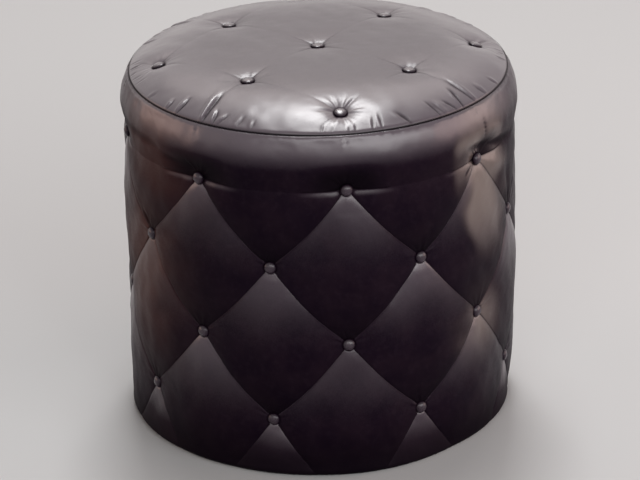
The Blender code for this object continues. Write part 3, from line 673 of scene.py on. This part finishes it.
def makeSidePanel(name, low, high, replaced):
    mesh, seamRow, lastRow = flatPanel(low, high)
    flat = placesOf(mesh)
    points, marks = sideSurface(flat[:, 0], flat[:, 1])
    seamEdges, turnedEdges = [], []
    for edge in mesh.edges:
        if edge.is_boundary:
            rows = [corner.co.y for corner in edge.verts]
            if max(rows) < seamRow + 1e-5:
                seamEdges.append(edge)
            elif min(rows) > lastRow - 1e-5:
                turnedEdges.append(edge)

    # The panel dips and darkens towards its upright joints
    jointReach = np.minimum(flat[:, 0] - low, high - flat[:, 0]) * drum["columnWidth"]
    groove = side["jointGroove"] * bell(jointReach, side["jointReach"], 1.3)
    angle = np.arctan2(points[:, 0], -points[:, 1])
    onWall = rowHeight(flat[:, 1]) > drum["cornerTop"]
    points[:, 0] -= groove * np.sin(angle) * onWall
    points[:, 1] += groove * np.cos(angle) * onWall
    marks["crease"] = np.maximum(marks["crease"], np.exp(-jointReach / 0.0011))
    movePlaces(mesh, points)
    storeMarks(mesh, marks)
    for face in mesh.faces:
        face.smooth = True
    for edge in seamEdges + turnedEdges:
        edge.smooth = False

    # The back of the pad, against the wall
    inner = moveOut(mesh, turnedEdges, side["turnedEdge"], drum["padFloor"])
    inner = moveOut(mesh, inner, drum["padBack"], drum["padFloor"] + 0.0004)
    inner = moveOut(mesh, inner, drum["padBack"], drum["padTop"] - 0.0008)
    outer = moveOut(mesh, seamEdges, drum["padBack"], drum["padTop"])
    bmesh.ops.bridge_loops(mesh, edges=inner + outer)
    closeMesh(mesh, [edge for edge in mesh.edges if edge.is_boundary], name)
    piece = newPiece(name, mesh, leather)
    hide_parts(*replaced)


jointColumn = drum["joint"] / 360 * drum["columns"]
makeSidePanel("sideLeatherFront", -jointColumn, jointColumn, ("side_cover_front", "side_foam"))
makeSidePanel("sideLeatherRear", jointColumn, drum["columns"] - jointColumn,
              ("side_cover_rear", "side_foam"))
print("stage: side leather made")


# Top leather, on a disc's grid with evenly spread points

top = {"cuts": 304, "dimple": 0.0070, "dimpleReach": 0.0095, "hollow": 0.0020, "hollowReach": 0.028,
       "crease": 0.0016, "creaseReach": 0.022, "creaseWidth": 0.0065, "puff": 0.0006,
       "starHeight": 0.0006, "buttonEdge": 0.0079, "unevenness": 0.0002, "curlReach": 0.0038,
       "curlDown": 0.0011, "curlIn": 0.0012, "rimIn": 0.0014, "floor": 0.4318, "neck": 0.2112,
       "turn": 135}
# Folds along the seam: azimuth, length, height, half width, lean in degrees over the length
edgeFolds = [(-46.5, 0.060, 0.0020, 0.0042, -3.5), (-41.8, 0.024, 0.0014, 0.0030, -2.0),
             (-38.6, 0.020, 0.0011, 0.0026, 2.0), (-55.5, 0.030, 0.0016, 0.0030, -1.5),
             (-60.0, 0.018, 0.0011, 0.0026, -1.5), (-28.4, 0.016, 0.0007, 0.0022, 0.0),
             (-33.0, 0.022, 0.0007, 0.0030, 1.0), (-70.0, 0.016, 0.0005, 0.0030, 0.0),
             (47.5, 0.057, 0.0013, 0.0040, 1.5), (41.5, 0.036, -0.0012, 0.0026, 2.5),
             (36.5, 0.022, -0.0011, 0.0020, -2.5), (30.2, 0.030, -0.0010, 0.0018, -1.5),
             (33.2, 0.026, 0.0008, 0.0034, -1.0), (19.0, 0.024, -0.0009, 0.0034, -3.5),
             (53.5, 0.022, 0.0009, 0.0030, 1.0), (62.0, 0.018, 0.0008, 0.0026, 0.5),
             (11.6, 0.026, -0.0006, 0.0018, 0.8), (9.0, 0.022, -0.0005, 0.0018, 1.4),
             (1.5, 0.012, -0.0004, 0.0016, 0.4), (3.4, 0.014, -0.0005, 0.0016, 0.3),
             (-3.6, 0.013, -0.0003, 0.0016, 0.8), (-6.6, 0.016, -0.0004, 0.0018, 0.8)]
# On the far side: the longest fold of each group is the middle one
draw = random.Random(21)
for arc in (135, 225):
    for place in range(7):
        longer, taller = (0.024, 0.0006) if place == 3 else (0, 0)
        edgeFolds.append((arc - 20 + 6.4 * place + draw.uniform(-1.6, 1.6),
                          draw.uniform(0.018, 0.034) + longer, draw.uniform(0.0005, 0.0010) + taller,
                          draw.uniform(0.0024, 0.004), draw.uniform(-2.5, 2.5)))
for arc in (90, 180, 270):
    for place in range(5):
        edgeFolds.append((arc - 9 + 4.4 * place + draw.uniform(-1, 1), draw.uniform(0.012, 0.022),
                          draw.uniform(-0.0007, -0.0003), draw.uniform(0.0016, 0.0026),
                          draw.uniform(-1.5, 1.5)))


def discGrid(cuts, reach):
    # A square grid, drawn out into a disc ring by ring
    mesh = bmesh.new()
    bmesh.ops.create_grid(mesh, x_segments=cuts, y_segments=cuts, size=1)
    x, y = placesOf(mesh)[:, :2].T
    wide = np.abs(x) >= np.abs(y)
    ring = np.where(wide, x, y)
    safe = np.where(ring == 0, 1, ring)
    turn = np.where(wide, y / safe * math.pi / 4, math.pi / 2 - x / safe * math.pi / 4)
    return mesh, ring * np.cos(turn) * reach, ring * np.sin(turn) * reach


def seamFolds(radius, azimuth, edge):
    # Height of the folds along the seam: a ridge each, with a trough on its outer side
    raised = np.zeros(len(radius))
    for place, length, height, width, lean in edgeFolds:
        inward = np.clip(edge / length, 0, 1.2)
        centre = math.radians(place) + math.radians(lean) * (inward - 0.5)
        across = ((azimuth - centre + math.pi) % math.tau - math.pi) * radius
        span = smoothStep(edge, -0.001, 0.006) * fade(inward, 0.45, 1.0)
        narrow = width * (0.55 + 0.45 * np.clip(inward * 2, 0, 1))
        hand = 1 if math.sin(math.radians(place)) > 0 else -1
        trough = bell(across + hand * 1.55 * narrow, 0.7 * narrow)
        raised = raised + height * span * (bell(across, narrow) - 0.65 * trough)
    return raised


def topRelief(x, y, radius, azimuth):
    # Depth of the dimples and pleats, height of the folds, painted shade in the creases, and distance from
    # a button
    pitch, turn = topSizes["pitch"], math.radians(top["turn"])
    i = (x * math.cos(turn) - y * math.sin(turn)) / pitch
    j = (x * math.sin(turn) + y * math.cos(turn)) / pitch
    nearI, nearJ = np.clip(np.round(i), -1, 1), np.clip(np.round(j), -1, 1)
    acrossI, acrossJ = (i - nearI) * pitch, (j - nearJ) * pitch
    reach = np.hypot(acrossI, acrossJ)
    crest = (swell(2 * np.abs(acrossI) / pitch) + swell(2 * np.abs(acrossJ) / pitch)) / 2
    edge = topSizes["seam"] - radius
    depth = top["puff"] * (1 - crest) * smoothStep(edge, 0.0, 0.03) \
        + top["hollow"] * bell(reach, top["hollowReach"], 1.6) \
        + top["dimple"] * bell(reach, top["dimpleReach"], 1.1)
    crease = np.zeros(len(x))
    for along, across in ((acrossI, acrossJ), (acrossJ, acrossI)):
        near = np.exp(-np.abs(along) / top["creaseReach"]) * fade(np.abs(along), 0.03, 0.055)
        share = np.abs(across) / top["creaseWidth"]
        depth = depth + top["crease"] * near * (1 - swell(share))
        crease = np.maximum(crease, near * np.exp(-share / 0.16) * 0.7)

    # A star of small folds round each button, strongest at the front
    spin = np.arctan2(acrossI, acrossJ)
    phase = (nearI * 3.1 + nearJ * 5.3 + 2.0) % math.tau
    star = (np.cos(11 * spin + phase) + 0.8 * np.cos(7 * spin - phase)
            + 0.6 * np.cos(17 * spin + 2 * phase)) / 2.4
    front = (nearI == 1) & (nearJ == 1)
    strength = np.where(front, top["starHeight"], 0.35 * top["starHeight"])
    window = smoothStep(reach, 0.0075, 0.012) * fade(reach, 0.013, 0.038)
    depth = depth + star * strength * window
    seat = fade(reach, 0.0068, 0.0083)
    depth = depth * (1 - seat) + drum["seatDepth"] * seat
    raised = seamFolds(radius, azimuth, edge)
    # Painted shade round each button, along the seam and in the fold troughs
    crease = np.maximum.reduce([crease, 0.8 * np.exp(-np.abs(reach - top["buttonEdge"]) / 0.0009),
                                np.exp(-np.clip(edge, 0, None) / 0.0007),
                                np.clip(-raised / 0.0014, 0, 0.55)])
    return depth, raised, crease, reach


def makeTop():
    mesh, x, y = discGrid(top["cuts"], topSizes["seam"])
    radius, azimuth = np.hypot(x, y), np.arctan2(x, -y)
    depth, raised, crease, reach = topRelief(x, y, radius, azimuth)
    inward = topSizes["seam"] - radius
    curl = np.clip(1 - inward / top["curlReach"], 0, 1)
    plan = np.stack([x, y, np.zeros(len(x))], axis=1)
    uneven = waves(plan, 0.024, 0.07, 20, 31) + 0.18 * waves(plan, 0.010, 0.02, 24, 33)
    calm = smoothStep(reach, 0.008, 0.02) * smoothStep(inward, 0.0, 0.01)
    lift = crownHeight(radius) - depth + raised + top["unevenness"] * uneven * calm \
        - top["curlDown"] * curl ** 2
    pull = 1 - top["curlIn"] * curl ** 3 / topSizes["seam"]
    # Wearing and painted light: the top paler all over, more on the fold crests and towards the rim
    wearAndPaintedLight = 0.72 + np.clip(raised / 0.002, -0.3, 0.4) + 0.28 * smoothStep(radius, 0.12, 0.21)
    movePlaces(mesh, np.stack([x * pull, y * pull, lift], axis=1))
    storeMarks(mesh, {"crease": crease, "wearAndPaintedLight": np.clip(wearAndPaintedLight, 0, 1)})
    for face in mesh.faces:
        face.smooth = True
    rim = [edge for edge in mesh.edges if edge.is_boundary]
    for edge in rim:
        edge.smooth = False

    # The panel's turned edge, and the seat foam under it
    rim = moveOut(mesh, rim, topSizes["seam"] - top["rimIn"], top["floor"])
    rim = moveOut(mesh, rim, top["neck"], top["floor"])
    rim = moveOut(mesh, rim, top["neck"], drum["seatTop"])
    closeMesh(mesh, rim, "topLeather")
    piece = newPiece("topLeather", mesh, leather)
    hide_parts("top_cover", "seat_foam")


makeTop()
print("stage: top leather made")


# Covered buttons

button = {"radius": 0.00765, "height": 0.0047, "sideHeight": 0.0064, "rim": 0.0011, "flatRim": 0.0024,
          "sides": 40, "stem": 0.0024, "sink": 0.006, "lift": 0.0024, "rearLift": 0.0004,
          "sideLift": 0.0002, "tilt": 5, "pucker": 0.00012, "sidePolish": 0.6}


def makeButton(name, place, replaced, turn, tall, rim, polish):
    mesh = bmesh.new()
    wide = button["radius"]
    profile = [(0, tall)]
    for step in range(1, 10):
        bow = math.radians(10 * step)
        profile.append((wide * math.sin(bow) ** 0.92, rim + (tall - rim) * math.cos(bow)))
    profile += [(wide * 1.01, rim * 0.8), (wide * 0.985, rim * 0.35),
                (wide * 0.93, 0.0), (wide * 0.78, -0.0004), (button["stem"], -0.0006),
                (button["stem"], -button["sink"]), (0, -button["sink"])]
    spun(mesh, profile, button["sides"])

    # The covering is drawn in under the rim, so it puckers a little there, and painted shade darkens it
    # just under the rim
    marks = {"crease": [], "wearAndPaintedLight": []}
    for corner in mesh.verts:
        reach = math.hypot(corner.co.x, corner.co.y) / wide
        spin = math.atan2(corner.co.y, corner.co.x)
        if corner.co.z > 0:
            corner.co.z += button["pucker"] * max(0, reach - 0.6) \
                * (math.cos(11 * spin + turn) + 0.6 * math.cos(17 * spin - turn))
        underRim = max(0.0, min(1.0, (reach - 0.93) / 0.08)) if corner.co.z < 0.0012 else 0.0
        marks["crease"].append(underRim)
        # Wearing and a painted highlight: the dome paler towards its middle
        marks["wearAndPaintedLight"].append(polish * max(0.0, 1 - reach ** 3))
    storeMarks(mesh, marks)
    for face in mesh.faces:
        face.smooth = True
    bmesh.ops.transform(mesh, matrix=place, verts=mesh.verts[:])
    piece = newPiece(name, mesh, buttonLeather)
    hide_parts(replaced)


def makeButtons():
    for row in range(drum["rows"]):
        for column in range(drum["columns"]):
            angle = (column + 0.5 * (row % 2)) * math.tau / drum["columns"]
            height = drum["topRow"] - row * drum["pitch"]
            draw = random.Random(100 * row + column)
            tilt = Matrix()
            for axis in "XY":
                tilt = tilt @ turnBy(draw.uniform(-button["tilt"], button["tilt"]), axis)
            seat = drum["radius"] - drum["seatDepth"] + button["sideLift"] \
                - float(pushedIn((angle + math.pi) % math.tau - math.pi, height))
            place = Matrix.Translation(spotAt(angle, seat, height)) \
                @ Matrix.Rotation(angle, 4, "Z") @ turnBy(90, "X") @ tilt
            makeButton(f"sideButton_{row + 1}_{column + 1}", place, f"side_button_{row + 1}_{column + 1}",
                       draw.uniform(0, 6), button["sideHeight"], button["rim"], button["sidePolish"])
    number = 0
    for i in (-1, 0, 1):
        for j in (-1, 0, 1):
            number += 1
            spot = Matrix.Rotation(math.radians(-top["turn"]), 2) @ Vector((i, j)) * topSizes["pitch"]
            share = spot.length / drum["crownReach"]
            slope = drum["crown"] * drum["crownPower"] / drum["crownReach"] \
                * share ** (drum["crownPower"] - 1)
            axis = Vector((-spot.y, spot.x, 0)) if share > 0.01 else "X"
            lean = Matrix.Rotation(math.atan(slope), 4, axis)
            # The rear one is pulled in deeper, behind the crown
            lift = button["rearLift"] if number == 1 else button["lift"]
            place = Matrix.Translation(
                (spot.x, spot.y, crownHeight(spot.length) - drum["seatDepth"] + lift)) @ lean
            makeButton(f"topButton_{number}", place, f"top_button_{number}", number, button["height"],
                       button["flatRim"], 1.0)


makeButtons()
print("stage: buttons made")


# Stitches that cross the seam groove and the two upright joints

seam = {"stitches": 380, "thickness": 0.00042, "reach": 0.0013, "bow": 0.0005, "radius": 0.2278,
        "height": 0.43545, "jointPitch": 0.0050, "jointLow": 0.014, "jointHigh": 0.428, "jointSink": 0.0017}


def addStitch(mesh, place):
    made = bmesh.ops.create_cone(mesh, cap_ends=True, segments=6, radius1=seam["thickness"],
                                 radius2=seam["thickness"], depth=2 * seam["reach"])["verts"]
    for corner in made:
        corner.co.x -= seam["bow"] * abs(corner.co.z) / seam["reach"]
    bmesh.ops.transform(mesh, matrix=place, verts=made)


def finishStitches(mesh, name):
    for face in mesh.faces:
        face.smooth = len(face.verts) == 4
    newPiece(name, mesh, thread)


def makeSeamStitches():
    # Each one lies across the groove, a little aslant, as a locked stitch does
    mesh = bmesh.new()
    aslant = turnBy(24, "Z") @ turnBy(62, "X") @ turnBy(-90, "Z")
    for stitch in range(seam["stitches"]):
        around = Matrix.Rotation(stitch * math.tau / seam["stitches"], 4, "Z")
        addStitch(mesh, around @ Matrix.Translation((0, -seam["radius"], seam["height"])) @ aslant)
    finishStitches(mesh, "seamStitches")


def makeJointStitches():
    mesh = bmesh.new()
    heights = np.arange(seam["jointLow"], seam["jointHigh"], seam["jointPitch"])
    rows = np.array([rowAt(height) for height in heights])
    aslant = turnBy(12, "Y") @ turnBy(90, "Y") @ turnBy(-90, "Z")
    for column in (jointColumn, -jointColumn):
        points, _ = sideSurface(np.full(len(rows), column), rows)
        around = Matrix.Rotation(column * math.tau / drum["columns"], 4, "Z")
        for point in points:
            reach = math.hypot(point[0], point[1]) - seam["jointSink"]
            addStitch(mesh, around @ Matrix.Translation((0, -reach, point[2])) @ aslant)
    finishStitches(mesh, "jointStitches")


makeSeamStitches()
makeJointStitches()
print("stage: seams stitched")


# Underside: dust cloth, its staples and the glides

dust = {"radius": 0.205, "bottom": 0.0043, "thickness": 0.0004, "cells": 44, "sag": 0.0003,
        "gather": 0.0001, "staples": 40, "stapleRing": 0.2012, "stapleReach": 0.005, "stapleWidth": 0.0009,
        "stapleThickness": 0.0005, "stapleBend": 0.0006, "stapleLeg": 0.0026}
glide = {"radius": 0.011, "height": 0.004, "nail": 0.0011, "nailTop": 0.016, "sides": 48}


def makeDustPiece():
    mesh, x, y = discGrid(dust["cells"], dust["radius"])
    radius, azimuth = np.hypot(x, y), np.arctan2(x, -y)
    gather = np.cos(dust["staples"] * azimuth) * smoothStep(radius, 0.17, 0.2)
    height = dust["bottom"] + dust["thickness"] * 0.5 + dust["gather"] * gather \
        - dust["sag"] * fade(radius, 0.02, 0.19)
    movePlaces(mesh, np.stack([x, y, height], axis=1))
    bmesh.ops.recalc_face_normals(mesh, faces=mesh.faces[:])
    bmesh.ops.solidify(mesh, geom=mesh.faces[:], thickness=dust["thickness"])
    bmesh.ops.recalc_face_normals(mesh, faces=mesh.faces[:])
    for face in mesh.faces:
        face.smooth = abs(face.normal.z) > 0.5
    piece = newPiece("dustCloth", mesh, slotFinishes["dust_cloth"])
    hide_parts("dust_cover")


def makeStaples():
    # Each staple is a flat wire, bent twice
    mesh = bmesh.new()
    reach, bend = dust["stapleReach"], dust["stapleBend"]
    bow = [(reach, dust["stapleLeg"]), (reach, bend), (reach - 0.29 * bend, 0.29 * bend), (reach - bend, 0)]
    path = [(-x, z) for x, z in bow] + [(x, z) for x, z in reversed(bow)]
    for number in range(dust["staples"]):
        place = Matrix.Rotation(number * math.tau / dust["staples"], 4, "Z") @ Matrix.Translation(
            (0, -dust["stapleRing"], dust["bottom"] - dust["thickness"] - 0.0003))
        rings = []
        for spot, (x, z) in enumerate(path):
            before, after = path[max(spot - 1, 0)], path[min(spot + 1, len(path) - 1)]
            heading = Vector((after[0] - before[0], after[1] - before[1])).normalized()
            across = Vector((-heading.y, heading.x)) * dust["stapleThickness"] / 2
            wide = dust["stapleWidth"] / 2
            rings.append([mesh.verts.new(place @ Vector((x + up * across.x, out * wide, z + up * across.y)))
                          for up, out in ((1, 1), (1, -1), (-1, -1), (-1, 1))])
        for first, second in zip(rings, rings[1:]):
            for corner in range(4):
                after = (corner + 1) % 4
                mesh.faces.new((first[corner], first[after], second[after], second[corner]))
        mesh.faces.new(rings[0])
        mesh.faces.new(rings[-1])
    bmesh.ops.recalc_face_normals(mesh, faces=mesh.faces[:])
    newPiece("dustStaples", mesh, slotFinishes["glide"])


def makeGlides():
    wide, tall = glide["radius"], glide["height"]
    profile = [(0, 0), (0.55 * wide, 0.0), (0.78 * wide, 0.0003), (0.90 * wide, 0.0008),
               (0.97 * wide, 0.0015), (wide, 0.0024), (wide, tall - 0.0004), (wide - 0.0004, tall),
               (glide["nail"], tall), (glide["nail"], glide["nailTop"]), (0, glide["nailTop"] + 0.002)]
    for number in range(1, 5):
        low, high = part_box(f"glide_{number}")
        mesh = bmesh.new()
        spun(mesh, profile, glide["sides"])
        for face in mesh.faces:
            face.smooth = face.calc_center_median().z < tall - 0.0001
        place = Matrix.Translation(((low[0] + high[0]) / 2, (low[1] + high[1]) / 2, 0))
        bmesh.ops.transform(mesh, matrix=place, verts=mesh.verts[:])
        piece = newPiece(f"glideFoot_{number}", mesh, slotFinishes["glide"])
        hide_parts(f"glide_{number}")


makeDustPiece()
makeStaples()
makeGlides()
print("stage: underside made")


# Floor, light and background

studio = {"floorReach": 9, "floor": (0.67, 0.67, 0.67), "backdrop": (1, 0.955, 0.93),
          "backdropLight": 1.1, "fill": (0.96, 0.97, 1.0), "fillLight": 0.08, "aim": (0, 0, 0.25)}
# Lamps: azimuth, elevation, distance, width, depth, brightness in a mirror, colour
lamps = {"overhead": (172.5, 64, 4.0, 1.0, 0.9, 21.0, (1, 1, 1)),
         "overFront": (172.5, 79, 4.0, 1.4, 0.7, 8.0, (1, 1, 1)),
         "behind": (172.5, 44, 6.5, 5.0, 2.6, 1.5, (1.0, 0.90, 0.86)),
         "front": (-7.5, 28, 6.5, 5.0, 3.0, 2.5, (1, 1, 1)),
         "frontRight": (33, 19, 6.0, 4.6, 2.6, 3.6, (1, 1, 1)),
         "right": (82, 10, 3.0, 2.6, 1.8, 2.2, (1.0, 0.72, 0.66)),
         "left": (-104, 8, 4.0, 3.0, 1.8, 1.5, (1.0, 0.58, 0.45))}


def makeFloor():
    mesh = bmesh.new()
    bmesh.ops.create_grid(mesh, x_segments=8, y_segments=8, size=studio["floorReach"])
    finish = Recipe("paleFloor").finish(Base_Color=(*studio["floor"], 1), Roughness=0.9,
                                        Specular_IOR_Level=0.0)
    newObject("floor", mesh, finish)


def makeWorld():
    # The camera and reflections see the backdrop, and everything else gets a faint fill light
    world = bpy.data.worlds.new("studio")
    bpy.context.scene.world = world
    world.use_nodes = True
    nodes, links = world.node_tree.nodes, world.node_tree.links
    fill, backdrop = nodes["Background"], nodes.new("ShaderNodeBackground")
    for light, colour, strength in ((fill, studio["fill"], studio["fillLight"]),
                                    (backdrop, studio["backdrop"], studio["backdropLight"])):
        light.inputs["Color"].default_value = (*colour, 1)
        light.inputs["Strength"].default_value = strength
    path = nodes.new("ShaderNodeLightPath")
    seen = path.outputs["Is Camera Ray"]
    for ray in ("Is Glossy Ray", "Is Transmission Ray"):
        either = nodes.new("ShaderNodeMath")
        either.operation = "MAXIMUM"
        links.new(seen, either.inputs[0])
        links.new(path.outputs[ray], either.inputs[1])
        seen = either.outputs[0]
    mix = nodes.new("ShaderNodeMixShader")
    links.new(seen, mix.inputs[0])
    links.new(fill.outputs[0], mix.inputs[1])
    links.new(backdrop.outputs[0], mix.inputs[2])
    links.new(mix.outputs[0], nodes["World Output"].inputs[0])


def makeLamp(name, azimuth, elevation, distance, width, depth, radiance, colour):
    # An area lamp that faces the stool's middle
    lamp = bpy.data.lights.new(name, "AREA")
    lamp.shape = "RECTANGLE"
    lamp.size, lamp.size_y = width, depth
    lamp.energy = radiance * width * depth * math.pi
    lamp.color = colour
    up = math.radians(elevation)
    away = Vector(spotAt(math.radians(azimuth), math.cos(up), math.sin(up)))
    holder = bpy.data.objects.new(name, lamp)
    bpy.context.scene.collection.objects.link(holder)
    holder.visible_camera = False
    holder.matrix_world = Matrix.Translation(Vector(studio["aim"]) + away * distance) \
        @ away.to_track_quat("Z", "Y").to_matrix().to_4x4()


makeFloor()
makeWorld()
for name, values in lamps.items():
    makeLamp(name, *values)
print("stage: studio lit")

bpy.context.scene.view_settings.view_transform = "Standard"
